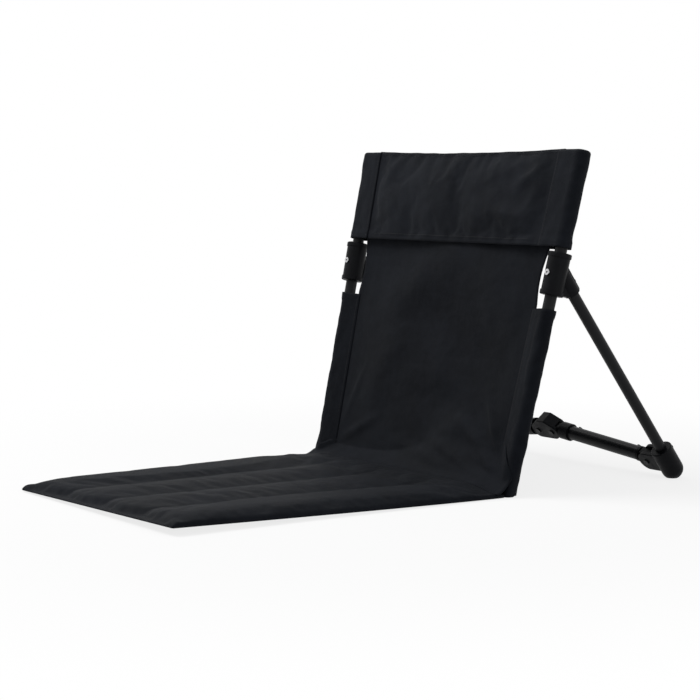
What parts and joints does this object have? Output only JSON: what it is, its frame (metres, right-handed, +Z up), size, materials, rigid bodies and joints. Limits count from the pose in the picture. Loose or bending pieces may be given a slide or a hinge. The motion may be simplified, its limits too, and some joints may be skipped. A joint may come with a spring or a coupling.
{
  "type": "folding floor chair",
  "caption": "Legless folding floor chair: a reclined cloth back on a tube frame with rear struts and a centre-folding rear bar, and a quilted pad that lies on the ground.",
  "frame": {"origin": "on the floor, under the middle of the chair's bounding box", "axes": "+Z up; -Y the way the sitter faces, so the seat pad lies towards -Y and the rear bar is at +Y; +X the sitter's left"},
  "size_m": [0.4746, 0.7839, 0.4437],
  "materials": {
    "cloth": "matte",
    "foam": "matte",
    "frame_tube": "satin",
    "moulded_plastic": "satin",
    "bright_rivet": "satin",
    "dark_rivet": "satin"
  },
  "bodies": {
    "left_frame": {"left_upright_tube": "frame_tube", "left_upright_cap": "moulded_plastic", "left_upright_foot": "moulded_plastic", "left_bracket": "moulded_plastic", "left_bracket_rivet": "bright_rivet", "left_strut": "frame_tube", "left_strut_rivets": "dark_rivet", "left_boot": "moulded_plastic", "left_boot_pin": "dark_rivet", "back_panel": "cloth", "headrest_pocket": "cloth"},
    "left_bar": {"left_bar_tube": "frame_tube", "left_bar_knuckle": "moulded_plastic", "left_bar_fitting": "moulded_plastic", "left_bar_rivets": "dark_rivet"},
    "centre_link": {"centre_link": "moulded_plastic", "centre_pins": "dark_rivet"},
    "right_bar": {"right_bar_tube": "frame_tube", "right_bar_knuckle": "moulded_plastic", "right_bar_fitting": "moulded_plastic", "right_bar_rivets": "dark_rivet"},
    "right_frame": {"right_upright_tube": "frame_tube", "right_upright_cap": "moulded_plastic", "right_upright_foot": "moulded_plastic", "right_bracket": "moulded_plastic", "right_bracket_rivet": "bright_rivet", "right_strut": "frame_tube", "right_strut_rivets": "dark_rivet", "right_boot": "moulded_plastic", "right_boot_pin": "dark_rivet"},
    "seat": {"seat_top_cloth": "cloth", "seat_bottom_cloth": "cloth", "seat_foam": "foam"}
  },
  "joints": [
    {"name": "left_bar_fold", "type": "hinge", "parent": "left_frame", "child": "left_bar", "pos_m": [0.18944, 0.36705, 0.026], "axis": [0, 0.7955, 0.6059], "range_deg": [0, 76], "deforming": ["back_panel", "headrest_pocket", "seat_top_cloth", "seat_bottom_cloth", "seat_foam"]},
    {"name": "left_link_fold", "type": "hinge", "parent": "left_bar", "child": "centre_link", "pos_m": [0.014, 0.35021, 0.04811], "axis": [0, 0.7955, 0.6059], "range_deg": [-76, 0]},
    {"name": "right_link_fold", "type": "hinge", "parent": "centre_link", "child": "right_bar", "pos_m": [-0.014, 0.35021, 0.04811], "axis": [0, 0.7955, 0.6059], "range_deg": [-76, 0]},
    {"name": "right_bar_fold", "type": "hinge", "parent": "right_bar", "child": "right_frame", "pos_m": [-0.18944, 0.36705, 0.026], "axis": [0, 0.7955, 0.6059], "range_deg": [0, 76]},
    {"name": "seat_fold", "type": "hinge", "parent": "left_frame", "child": "seat", "pos_m": [0, 0.06805, 0.014], "axis": [-1, 0, 0], "range_deg": [0, 100]}
  ],
  "couplings": [
    {"joint": "left_link_fold", "follows": "left_bar_fold", "ratio": -1},
    {"joint": "right_link_fold", "follows": "left_bar_fold", "ratio": -1},
    {"joint": "right_bar_fold", "follows": "left_bar_fold", "ratio": 1}
  ]
}
